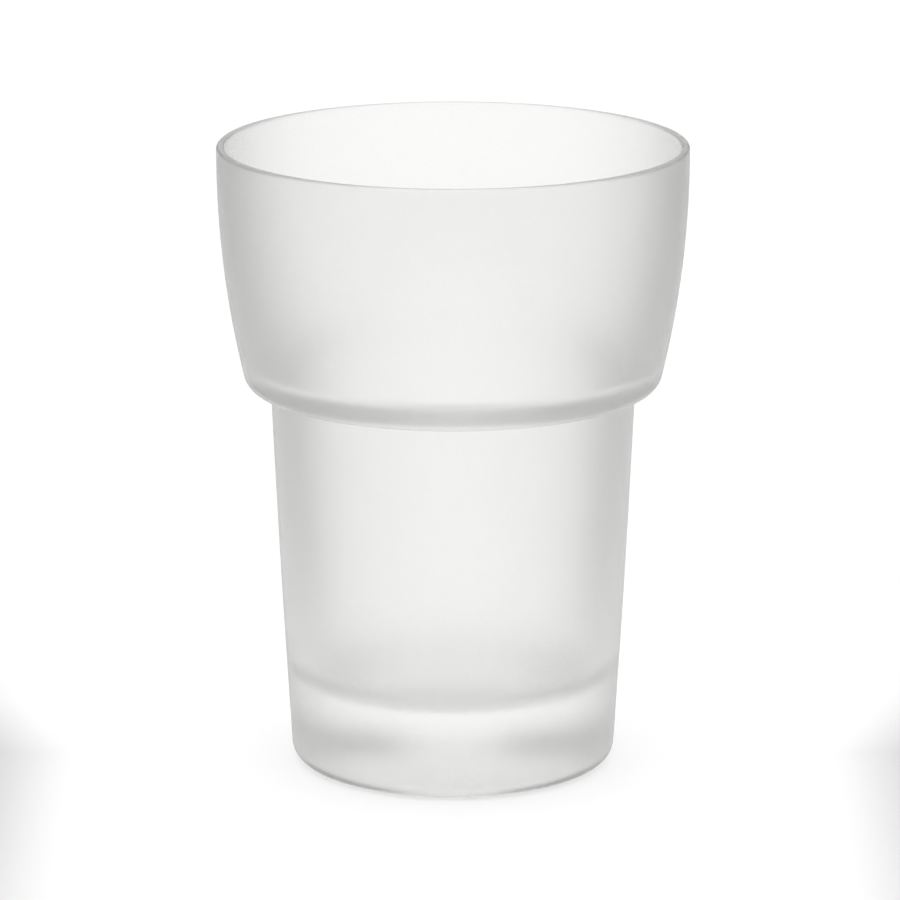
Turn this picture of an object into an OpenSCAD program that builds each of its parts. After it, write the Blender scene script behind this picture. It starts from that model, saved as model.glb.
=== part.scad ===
// Bathroom tumbler in satin glass, pressed in one piece, for a wall ring or a shelf.
// Wide bowl above, narrower shank below, and a shoulder between them that a holder's ring carries.
// Millimetres, +Z up. The origin is the centre of the standing ring, on the surface it stands on.

/* [Overall] */
// Height from the standing ring to the crest of the rim
height = 96.8; // [90:0.2:110]
// Widest diameter, at the rim
rim_d = 72; // [69:0.5:78]

/* [Rim] */
// Wall thickness at the rim
rim_wall = 1.2; // [1:0.05:2]
// Radius of the fire-polished edges of the rim, outside and inside
rim_round = 0.55; // [0.3:0.05:0.6]

/* [Bowl] */
// Height where the bowl's upright upper wall and its leaning lower wall would meet
bowl_bend_h = 78; // [74:0.5:82]
// Radius of the long curve between those two walls
bowl_round = 147; // [60:1:160]
// Wall thickness of the bowl at its foot, just above the shoulder
bowl_wall = 2.2; // [1.6:0.1:3]

/* [Shoulder] */
// Diameter of the shoulder's outer corner, before it is rounded
shoulder_d = 63.2; // [61:0.2:67]
// Height of the flat underside that a holder's ring carries
shoulder_h = 59.1; // [52:0.1:64]
// Radius of the shoulder's outer corner
shoulder_round = 2.7; // [1:0.1:3]
// Radius of the fillet between the underside and the shank
neck_fillet = 0.4; // [0.2:0.1:0.6]

/* [Inside step] */
// How far the top of the step in the inside wall lies above the shoulder's underside
step_rise = 4.6; // [1.6:0.1:5]
// How far the foot of that step lies below the underside
step_drop = 0.2; // [0:0.1:3]
// Radius of the two bends of the step
step_round = 1; // [1:0.1:4]

/* [Shank] */
// Diameter of the shank at its top, just under the shoulder
neck_d = 56; // [53:0.2:58]
// Wall thickness of the shank at its top
neck_wall = 3.3; // [2:0.1:4]
// Diameter of the shank at its foot, before the corner is rounded
foot_d = 49.8; // [47:0.2:52]
// How far the bend in the shank's side stands out of a straight cone, at half height
shank_bend = 0.2; // [0.1:0.05:0.4]
// Radius of the long curve that smooths that bend
shank_round = 2000; // [800:50:2500]

/* [Base] */
// Thickness of the glass floor, from the standing ring up to the inside
floor_thick = 12.8; // [6:0.2:16]
// Wall thickness of the shank where it runs into the floor
heel_wall = 3.5; // [3:0.1:6]
// Radius of the inside corner between wall and floor
well_round = 4.8; // [1:0.2:8]
// Radius of the outside corner at the foot
foot_round = 2.8; // [1.5:0.1:4]
// Width of the flat ring that the tumbler stands on
ring_w = 3; // [2:0.2:5]
// Height of the hollow under the base, at its centre
punt_h = 3; // [0.6:0.1:4]

/* [Resolution] */
// Faces around the tumbler
facets = 144; // [96:12:240]

/* [Hidden] */

// Steps along a rounded corner, along a long curve and along the hollow underneath
corner_steps = 10;
curve_steps = 20;
punt_steps = 12;
// Share of a side that the rounds at its two ends may take together
side_share = 0.99;
// Sine of the smallest turn that is rounded
least_turn = 1e-6;

rim_r = rim_d / 2;
shoulder_r = shoulder_d / 2;
neck_r = neck_d / 2;
foot_r = foot_d / 2;
ring_r = foot_r - foot_round - ring_w;
shank_mid_h = shoulder_h / 2;
shank_mid_r = (neck_r + foot_r) / 2 + shank_bend;

// Inside wall
mouth_r = rim_r - rim_wall;
bend_in_r = rim_r - (rim_wall + bowl_wall) / 2;
step_top_r = shoulder_r - bowl_wall;
step_foot_r = neck_r - neck_wall;
heel_r = foot_r - heel_wall;

// Hollow under the base, part of a sphere through the standing ring's inner edge
punt_sphere = (ring_r * ring_r + punt_h * punt_h) / (2 * punt_h);
punt_angle = asin(ring_r / punt_sphere);
punt_points = [
    for (i = [0:punt_steps - 1])
        let (t = punt_angle * i / punt_steps)
        [punt_sphere * sin(t), punt_h - punt_sphere * (1 - cos(t))]
];

// Corners of the outline from the standing ring round to the floor inside.
// Each is [distance from the axis, height, radius of its round, steps along the round].
CORNERS = [
    [ring_r, 0, 0, 0],
    [foot_r, 0, foot_round, corner_steps],
    [shank_mid_r, shank_mid_h, shank_round, curve_steps],
    [neck_r, shoulder_h, neck_fillet, corner_steps],
    [shoulder_r, shoulder_h, shoulder_round, corner_steps],
    [rim_r, bowl_bend_h, bowl_round, curve_steps],
    [rim_r, height, rim_round, corner_steps],
    [mouth_r, height, rim_round, corner_steps],
    [bend_in_r, bowl_bend_h, bowl_round, curve_steps],
    [step_top_r, shoulder_h + step_rise, step_round, corner_steps],
    [step_foot_r, shoulder_h - step_drop, step_round, corner_steps],
    [heel_r, floor_thick, well_round, corner_steps],
    [0, floor_thick, 0, 0]
];

function place(i) = [CORNERS[i][0], CORNERS[i][1]];
function side(i) = place(i + 1) - place(i);
function unit(v) = v / norm(v);

// Half the angle between the two sides that meet at corner i
function half_angle(i) = acos(unit(-side(i - 1)) * unit(side(i))) / 2;

// How far round i would run along both its sides, and how far it does run,
// because the rounds at the two ends of a side share it
function wanted(i) = CORNERS[i][2] == 0 ? 0 : CORNERS[i][2] / tan(half_angle(i));
function allowed(i, next, length) = side_share * length * wanted(i) / (wanted(i) + wanted(next));
function reach(i) =
    min(wanted(i), allowed(i, i - 1, norm(side(i - 1))), allowed(i, i + 1, norm(side(i))));

// Points of the round at corner i
function round_points(i) =
    let (
        back = unit(-side(i - 1)),
        ahead = unit(side(i)),
        half = half_angle(i),
        radius = reach(i) * tan(half),
        centre = place(i) + unit(back + ahead) * radius / sin(half),
        start = unit(place(i) + back * reach(i) - centre),
        turn = sign(cross(-back, ahead)) * (180 - 2 * half)
    )
    [for (k = [0:CORNERS[i][3]])
        let (t = turn * k / CORNERS[i][3])
        centre + radius * [start.x * cos(t) - start.y * sin(t), start.x * sin(t) + start.y * cos(t)]];

// A corner stays a plain point if it has no round or does not turn
function is_plain(i) =
    CORNERS[i][2] == 0 || abs(cross(unit(side(i - 1)), unit(side(i)))) < least_turn;

outline_points = [
    for (i = [0:len(CORNERS) - 1])
        each is_plain(i) ? [place(i)] : round_points(i)
];

// The whole tumbler: one piece of pressed glass
module tumbler() {
    color([0.93, 0.95, 0.94, 0.55])
        rotate_extrude($fn = facets)
            polygon(concat(punt_points, outline_points));
}

tumbler();
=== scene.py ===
"""Bathroom tumbler of pressed glass with a satin-etched finish, on a pale floor in soft light."""

import math

import bmesh
import bpy
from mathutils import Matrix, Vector


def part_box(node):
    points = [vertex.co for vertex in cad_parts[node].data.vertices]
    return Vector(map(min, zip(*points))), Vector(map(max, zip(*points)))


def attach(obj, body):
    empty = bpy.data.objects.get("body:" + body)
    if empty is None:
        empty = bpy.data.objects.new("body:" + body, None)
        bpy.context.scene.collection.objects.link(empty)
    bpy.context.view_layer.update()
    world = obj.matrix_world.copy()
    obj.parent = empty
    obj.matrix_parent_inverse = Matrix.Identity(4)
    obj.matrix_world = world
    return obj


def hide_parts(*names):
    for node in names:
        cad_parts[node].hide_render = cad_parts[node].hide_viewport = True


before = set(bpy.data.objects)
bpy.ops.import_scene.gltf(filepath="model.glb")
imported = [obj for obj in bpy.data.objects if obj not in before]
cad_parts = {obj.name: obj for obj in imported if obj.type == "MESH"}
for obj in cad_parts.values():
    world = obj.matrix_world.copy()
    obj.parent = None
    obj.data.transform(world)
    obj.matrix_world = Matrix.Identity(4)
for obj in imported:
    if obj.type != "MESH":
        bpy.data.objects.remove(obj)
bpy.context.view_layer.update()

# Sizes of the glass, in metres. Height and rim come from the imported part, the rest repeats its source.
MM = 0.001
glass_low, glass_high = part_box("tumbler")
HEIGHT = glass_high.z - glass_low.z

# Rim
RIM_R = (glass_high.x - glass_low.x) / 2
RIM_WALL = 1.2 * MM
RIM_ROUND = 0.55 * MM

# Bowl. Its upright upper wall and its leaning lower wall meet at the bend, which a long curve smooths.
BOWL_BEND_H = 78 * MM
BOWL_ROUND = 147 * MM
BOWL_WALL = 2.2 * MM

# Shoulder that a holder's ring carries
SHOULDER_R = 31.6 * MM
SHOULDER_H = 59.1 * MM
SHOULDER_ROUND = 2.7 * MM
NECK_FILLET = 0.4 * MM

# Step in the inside wall, from above the shoulder's underside to below it
STEP_RISE = 4.6 * MM
STEP_DROP = 0.2 * MM
STEP_ROUND = 1 * MM

# Shank, which swells a little at half its height
NECK_R = 28 * MM
NECK_WALL = 3.3 * MM
FOOT_R = 24.9 * MM
SHANK_BEND = 0.2 * MM
SHANK_ROUND = 2000 * MM

# Base: the heel is the wall where it runs into the floor, the well's round is the corner inside
FLOOR_THICK = 12.8 * MM
HEEL_WALL = 3.5 * MM
WELL_ROUND = 4.8 * MM
FOOT_ROUND = 2.8 * MM
RING_W = 3 * MM
HOLLOW_H = 3 * MM

# How finely the glass is cut: steps along a small round, a long curve and one turn, and a straight step
CORNER_STEPS = 14
CURVE_STEPS = 30
TURN_STEPS = 192
SIDE_STEP = 1.2 * MM

# Points closer than this are one
WELD = 0.001 * MM

# Order of the finishes on the glass. The one underneath stops where the foot turns up by this angle.
OUTSIDE, RIM, INSIDE, UNDERSIDE = range(4)
FOOT_EDGE_ANGLE = math.radians(40)

# Etched glass. Its tint goes from thin to dense over the grain.
GLASS_IOR = 1.5
OUTSIDE_ROUGHNESS = 0.385
RIM_ROUGHNESS = 0.385
INSIDE_ROUGHNESS = 0.13
UNDERSIDE_ROUGHNESS = 0.33
TINT_THIN = (1, 1, 0.991)
TINT_DENSE = (0.945, 0.951, 0.934)

# Grain of the etching: pits, which are finer on the rim and inside, and clouds that stir the roughness
PIT_SIZE = 0.35 * MM
PIT_DEPTH = 0.015 * MM
FINE_PIT_DEPTH = 0.004 * MM
PIT_DETAIL = 1
CLOUD_SIZE = 7 * MM
CLOUD_DETAIL = 3
CLOUD_SHARE = 0.08
NOISE_MIDDLE = 0.5

# Camera, from a fit of the tumbler's outline to a square picture. The sensor is in millimetres.
PICTURE_PX = 900
PIXELS_PER_M = 6489
SENSOR_W = 36
CAMERA_DISTANCE = 0.824
CAMERA_ELEVATION = 14.09
CAMERA_AIM_X = -0.46 * MM
CAMERA_AIM_H = 48.8 * MM

# Floor
WHITE = (1, 1, 1, 1)
FLOOR_R = 6
FLOOR_SIDES = 96
FLOOR_DROP = 0.02 * MM
FLOOR_TONE = 0.55
FLOOR_ROUGHNESS = 0.9

# Glow on the floor, in metres from the axis: a lane that widens behind the tumbler, and a pool under it
LANE_IN = 0.055
LANE_OUT = 0.079
LANE_SPREAD = 0.39
LANE_START = -0.25
LANE_FULL = -0.15
LANE_GLOW = 0.413
POOL_IN = 0.03
POOL_OUT = 0.1
POOL_GLOW = 0.087

# Light overhead and a lit patch of backdrop, in degrees above the horizon and to each side
OVERHEAD_FROM = 11.2
OVERHEAD_FULL = 41.6
OVERHEAD_LIGHT = 1.413
BACKDROP_IN = 8.5
BACKDROP_OUT = 13.9
BACKDROP_TOP = 16.2
BACKDROP_END = 18.3
BACKDROP_LIGHT = 0.966

# How often light may bounce, in all or through glass, and off shiny surfaces
BOUNCES = 24
SHINY_BOUNCES = 16


# Outline of the glass
def limited_reaches(places, radii):
    """How far each corner's round runs along its sides. Two rounds on one side share it."""
    wanted = [0.0]
    for before, corner, after, radius in zip(places, places[1:], places[2:], radii[1:]):
        half = (before - corner).angle(after - corner) / 2
        wanted.append(radius / math.tan(half))
    wanted.append(0.0)
    reaches = list(wanted)
    for left in range(len(places) - 1):
        side = (places[left + 1] - places[left]).length
        both = wanted[left] + wanted[left + 1]
        if both > side:
            reaches[left] = min(reaches[left], wanted[left] * side / both)
            reaches[left + 1] = min(reaches[left + 1], wanted[left + 1] * side / both)
    return reaches


def corner_arc(before, corner, after, reach, steps):
    """Points that round one corner with an arc that starts and ends this far from it."""
    back = (before - corner).normalized()
    ahead = (after - corner).normalized()
    half = back.angle(ahead) / 2
    centre = corner + (back + ahead).normalized() * reach / math.cos(half)
    start = corner + back * reach - centre
    across = Vector((-start.y, start.x))
    turn = math.copysign(math.pi - 2 * half, ahead.x * back.y - ahead.y * back.x)
    points = []
    for step in range(steps + 1):
        angle = turn * step / steps
        points.append(centre + start * math.cos(angle) + across * math.sin(angle))
    return points


def rounded(corners):
    """Outline through corners of (distance from the axis, height, radius of the round, steps)."""
    places = [Vector(corner[:2]) for corner in corners]
    reaches = limited_reaches(places, [corner[2] for corner in corners])
    points = []
    for index, (radius, steps) in enumerate(corner[2:] for corner in corners):
        if radius == 0:
            points.append(places[index])
        else:
            points += corner_arc(*places[index - 1:index + 2], reaches[index], steps)
    return points


def cut_long_sides(points):
    """The same outline with its long straight sides cut into short steps."""
    cut = [points[0]]
    for start, end in zip(points, points[1:]):
        pieces = math.ceil((end - start).length / SIDE_STEP)
        for step in range(1, pieces + 1):
            cut.append(start.lerp(end, step / pieces))
    return cut


def hollow_under(ring_r):
    """Hollow under the base, part of a sphere, from the axis out to the standing ring."""
    sphere = (ring_r ** 2 + HOLLOW_H ** 2) / (2 * HOLLOW_H)
    angle = math.asin(ring_r / sphere)
    points = []
    for step in range(CORNER_STEPS):
        part = angle * step / CORNER_STEPS
        points.append(Vector((sphere * math.sin(part), HOLLOW_H - sphere * (1 - math.cos(part)))))
    return points


def glass_outline():
    """Half section of the glass, from the hollow underneath, up the outside and down the inside."""
    ring_r = FOOT_R - FOOT_ROUND - RING_W
    mouth_r = RIM_R - RIM_WALL
    corners = [
        (ring_r, 0, 0, 0),
        (FOOT_R, 0, FOOT_ROUND, CORNER_STEPS),
        ((NECK_R + FOOT_R) / 2 + SHANK_BEND, SHOULDER_H / 2, SHANK_ROUND, CURVE_STEPS),
        (NECK_R, SHOULDER_H, NECK_FILLET, CORNER_STEPS),
        (SHOULDER_R, SHOULDER_H, SHOULDER_ROUND, CORNER_STEPS),
        (RIM_R, BOWL_BEND_H, BOWL_ROUND, CURVE_STEPS),
        (RIM_R, HEIGHT, RIM_ROUND, CORNER_STEPS),
        (mouth_r, HEIGHT, RIM_ROUND, CORNER_STEPS),
        (RIM_R - (RIM_WALL + BOWL_WALL) / 2, BOWL_BEND_H, BOWL_ROUND, CURVE_STEPS),
        (SHOULDER_R - BOWL_WALL, SHOULDER_H + STEP_RISE, STEP_ROUND, CORNER_STEPS),
        (NECK_R - NECK_WALL, SHOULDER_H - STEP_DROP, STEP_ROUND, CORNER_STEPS),
        (FOOT_R - HEEL_WALL, FLOOR_THICK, WELL_ROUND, CORNER_STEPS),
        (0, FLOOR_THICK, 0, 0),
    ]
    return cut_long_sides(hollow_under(ring_r) + rounded(corners))


# The glass
def finish_of(face):
    """Which finish a face takes: rim, underside, outside or inside."""
    centre = face.calc_center_median()
    outward = face.normal.x * centre.x + face.normal.y * centre.y
    if centre.z > HEIGHT - RIM_ROUND:
        return RIM
    if centre.z < HOLLOW_H and face.normal.z < -math.cos(FOOT_EDGE_ANGLE):
        return UNDERSIDE
    if outward > 0 or face.normal.z < 0:
        return OUTSIDE
    return INSIDE


def face_rank(face, points):
    """Place of a face by the numbers of its points, because a spin leaves the faces in no fixed order."""
    numbers = [vert.index for vert in face.verts]
    return max(numbers) * points + min(numbers)


def make_glass(name, materials):
    """The whole tumbler as one closed skin, spun from its half section."""
    bm = bmesh.new()
    verts = [bm.verts.new((point.x, 0, point.y)) for point in glass_outline()]
    edges = [bm.edges.new(pair) for pair in zip(verts, verts[1:])]
    bmesh.ops.spin(
        bm, geom=verts + edges, cent=(0, 0, 0), axis=(0, 0, 1), angle=math.tau,
        steps=TURN_STEPS, use_merge=True,
    )
    bmesh.ops.remove_doubles(bm, verts=bm.verts, dist=WELD)
    bmesh.ops.dissolve_degenerate(bm, edges=bm.edges, dist=WELD)
    bmesh.ops.recalc_face_normals(bm, faces=bm.faces)
    points = len(bm.verts)
    bm.verts.index_update()
    bm.faces.sort(key=lambda face: face_rank(face, points))
    for face in bm.faces:
        face.smooth = True
        face.material_index = finish_of(face)
    mesh = bpy.data.meshes.new(name)
    bm.to_mesh(mesh)
    bm.free()
    for material in materials:
        mesh.materials.append(material)
    piece = bpy.data.objects.new(name, mesh)
    bpy.context.scene.collection.objects.link(piece)
    return piece


# Finishes
def new_material(name):
    """New material, with its nodes and its links."""
    material = bpy.data.materials.new(name)
    material.use_nodes = True
    return material, material.node_tree.nodes, material.node_tree.links


def calculated(nodes, links, operation, *values):
    """Result of one step of arithmetic on numbers and sockets."""
    node = nodes.new("ShaderNodeMath")
    node.operation = operation
    for socket, value in zip(node.inputs, values):
        if isinstance(value, bpy.types.NodeSocket):
            links.new(value, socket)
        else:
            socket.default_value = value
    return node.outputs["Value"]


def fade(nodes, links, value, start, end, low, high):
    """Value that goes smoothly from low to high while the given one goes from start to end."""
    ramp = nodes.new("ShaderNodeMapRange")
    ramp.interpolation_type = "SMOOTHSTEP"
    ramp.inputs["From Min"].default_value = start
    ramp.inputs["From Max"].default_value = end
    ramp.inputs["To Min"].default_value = low
    ramp.inputs["To Max"].default_value = high
    links.new(value, ramp.inputs["Value"])
    return ramp.outputs["Result"]


def grain_group():
    """Shared grain of etched glass: fine pits and soft clouds, each a value either side of zero."""
    group = bpy.data.node_groups.new("etched_grain", "ShaderNodeTree")
    group.interface.new_socket("Place", in_out="INPUT", socket_type="NodeSocketVector")
    group.interface.new_socket("Pit Size", in_out="INPUT", socket_type="NodeSocketFloat")
    group.interface.new_socket("Cloud Size", in_out="INPUT", socket_type="NodeSocketFloat")
    group.interface.new_socket("Pits", in_out="OUTPUT", socket_type="NodeSocketFloat")
    group.interface.new_socket("Clouds", in_out="OUTPUT", socket_type="NodeSocketFloat")
    nodes, links = group.nodes, group.links
    given = nodes.new("NodeGroupInput")
    result = nodes.new("NodeGroupOutput")
    for size, output, detail in (("Pit Size", "Pits", PIT_DETAIL), ("Cloud Size", "Clouds", CLOUD_DETAIL)):
        noise = nodes.new("ShaderNodeTexNoise")
        noise.inputs["Detail"].default_value = detail
        links.new(given.outputs["Place"], noise.inputs["Vector"])
        links.new(calculated(nodes, links, "DIVIDE", 1, given.outputs[size]), noise.inputs["Scale"])
        centred = calculated(nodes, links, "SUBTRACT", noise.outputs["Fac"], NOISE_MIDDLE)
        links.new(calculated(nodes, links, "DIVIDE", centred, NOISE_MIDDLE), result.inputs[output])
    return group


def etched_glass(name, grain, roughness, pit_depth):
    """Satin glass: the clouds stir its roughness, the pits dent it and vary its tint."""
    material, nodes, links = new_material(name)
    shader = nodes["Principled BSDF"]
    shader.inputs["IOR"].default_value = GLASS_IOR
    shader.inputs["Transmission Weight"].default_value = 1
    place = nodes.new("ShaderNodeTexCoord")
    marks = nodes.new("ShaderNodeGroup")
    marks.node_tree = grain
    marks.inputs["Pit Size"].default_value = PIT_SIZE
    marks.inputs["Cloud Size"].default_value = CLOUD_SIZE
    links.new(place.outputs["Object"], marks.inputs["Place"])
    pits, clouds = marks.outputs["Pits"], marks.outputs["Clouds"]

    stirred = calculated(nodes, links, "MULTIPLY_ADD", clouds, roughness * CLOUD_SHARE, roughness)
    links.new(stirred, shader.inputs["Roughness"])

    bump = nodes.new("ShaderNodeBump")
    bump.inputs["Distance"].default_value = pit_depth
    links.new(pits, bump.inputs["Height"])
    links.new(bump.outputs["Normal"], shader.inputs["Normal"])

    density = calculated(nodes, links, "MULTIPLY_ADD", pits, NOISE_MIDDLE, NOISE_MIDDLE)
    tint = nodes.new("ShaderNodeMix")
    tint.data_type = "RGBA"
    tint.inputs["A"].default_value = (*TINT_THIN, 1)
    tint.inputs["B"].default_value = (*TINT_DENSE, 1)
    links.new(density, tint.inputs["Factor"])
    links.new(tint.outputs["Result"], shader.inputs["Base Color"])
    return material


# The set
def floor_glow(nodes, links):
    """Strength of the floor's glow: the lane behind the tumbler and the pool under it."""
    place = nodes.new("ShaderNodeTexCoord")
    parts = nodes.new("ShaderNodeSeparateXYZ")
    distance = nodes.new("ShaderNodeVectorMath")
    distance.operation = "LENGTH"
    links.new(place.outputs["Object"], parts.inputs["Vector"])
    links.new(place.outputs["Object"], distance.inputs[0])
    aside = calculated(nodes, links, "ABSOLUTE", parts.outputs["X"])
    backwards = calculated(nodes, links, "MAXIMUM", parts.outputs["Y"], 0)
    across = calculated(nodes, links, "MULTIPLY_ADD", backwards, -LANE_SPREAD, aside)
    sides = fade(nodes, links, across, LANE_IN, LANE_OUT, LANE_GLOW, 0)
    along = fade(nodes, links, parts.outputs["Y"], LANE_START, LANE_FULL, 0, 1)
    lane = calculated(nodes, links, "MULTIPLY", sides, along)
    pool = fade(nodes, links, distance.outputs["Value"], POOL_IN, POOL_OUT, POOL_GLOW, 0)
    return calculated(nodes, links, "ADD", lane, pool)


def floor_material():
    """Matt pale floor, glowing where the lane and the pool are."""
    material, nodes, links = new_material("pale_floor")
    shader = nodes["Principled BSDF"]
    shader.inputs["Base Color"].default_value = (FLOOR_TONE, FLOOR_TONE, FLOOR_TONE, 1)
    shader.inputs["Roughness"].default_value = FLOOR_ROUGHNESS
    shader.inputs["Specular IOR Level"].default_value = 0
    shader.inputs["Emission Color"].default_value = WHITE
    links.new(floor_glow(nodes, links), shader.inputs["Emission Strength"])
    return material


def make_floor():
    """Pale round floor, a hair below the glass."""
    bm = bmesh.new()
    bmesh.ops.create_circle(bm, cap_ends=True, segments=FLOOR_SIDES, radius=FLOOR_R)
    mesh = bpy.data.meshes.new("floor")
    bm.to_mesh(mesh)
    bm.free()
    mesh.materials.append(floor_material())
    floor = bpy.data.objects.new("floor", mesh)
    floor.location.z = -FLOOR_DROP
    bpy.context.scene.collection.objects.link(floor)


def sky_height(elevation):
    """How high a direction this many degrees above the horizon is on a sky of radius one."""
    return math.sin(math.radians(elevation))


def make_world():
    """Soft light overhead and a lit patch of backdrop behind the tumbler, with a dark horizon round them."""
    world = bpy.data.worlds.new("studio")
    world.use_nodes = True
    bpy.context.scene.world = world
    nodes, links = world.node_tree.nodes, world.node_tree.links
    direction = nodes.new("ShaderNodeTexCoord")
    parts = nodes.new("ShaderNodeSeparateXYZ")
    links.new(direction.outputs["Generated"], parts.inputs["Vector"])
    height = parts.outputs["Z"]
    overhead = fade(
        nodes, links, height, sky_height(OVERHEAD_FROM), sky_height(OVERHEAD_FULL), 0, OVERHEAD_LIGHT)

    aside = calculated(nodes, links, "ABSOLUTE", parts.outputs["X"])
    turn = calculated(nodes, links, "ARCTAN2", aside, parts.outputs["Y"])
    across = fade(
        nodes, links, turn, math.radians(BACKDROP_IN), math.radians(BACKDROP_OUT), BACKDROP_LIGHT, 0)
    up = fade(nodes, links, height, sky_height(BACKDROP_TOP), sky_height(BACKDROP_END), 1, 0)
    backdrop = calculated(nodes, links, "MULTIPLY", across, up)

    background = nodes["Background"]
    background.inputs["Color"].default_value = WHITE
    links.new(calculated(nodes, links, "ADD", overhead, backdrop), background.inputs["Strength"])


def make_camera():
    """Camera at the photograph's angle, distance and framing."""
    elevation = math.radians(CAMERA_ELEVATION)
    aim = Vector((CAMERA_AIM_X, 0, CAMERA_AIM_H))
    back = Vector((0, -math.cos(elevation), math.sin(elevation)))
    camera = bpy.data.objects.new("camera", bpy.data.cameras.new("camera"))
    camera.data.sensor_width = SENSOR_W
    camera.data.lens = SENSOR_W * PIXELS_PER_M * CAMERA_DISTANCE / PICTURE_PX
    camera.location = aim + back * CAMERA_DISTANCE
    camera.rotation_euler = (-back).to_track_quat("-Z", "Y").to_euler()
    bpy.context.scene.collection.objects.link(camera)
    bpy.context.scene.camera = camera


# The tumbler, in one piece with four finishes
grain = grain_group()
glass = make_glass("satin_tumbler", [
    etched_glass("satin_outside", grain, OUTSIDE_ROUGHNESS, PIT_DEPTH),
    etched_glass("satin_rim", grain, RIM_ROUGHNESS, FINE_PIT_DEPTH),
    etched_glass("satin_inside", grain, INSIDE_ROUGHNESS, FINE_PIT_DEPTH),
    etched_glass("satin_underside", grain, UNDERSIDE_ROUGHNESS, PIT_DEPTH),
])
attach(glass, "root")
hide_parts("tumbler")

# Light, floor and camera
make_world()
make_floor()
make_camera()
bpy.context.scene.view_settings.view_transform = "Standard"
bpy.context.scene.cycles.max_bounces = BOUNCES
bpy.context.scene.cycles.glossy_bounces = SHINY_BOUNCES
bpy.context.scene.cycles.transmission_bounces = BOUNCES
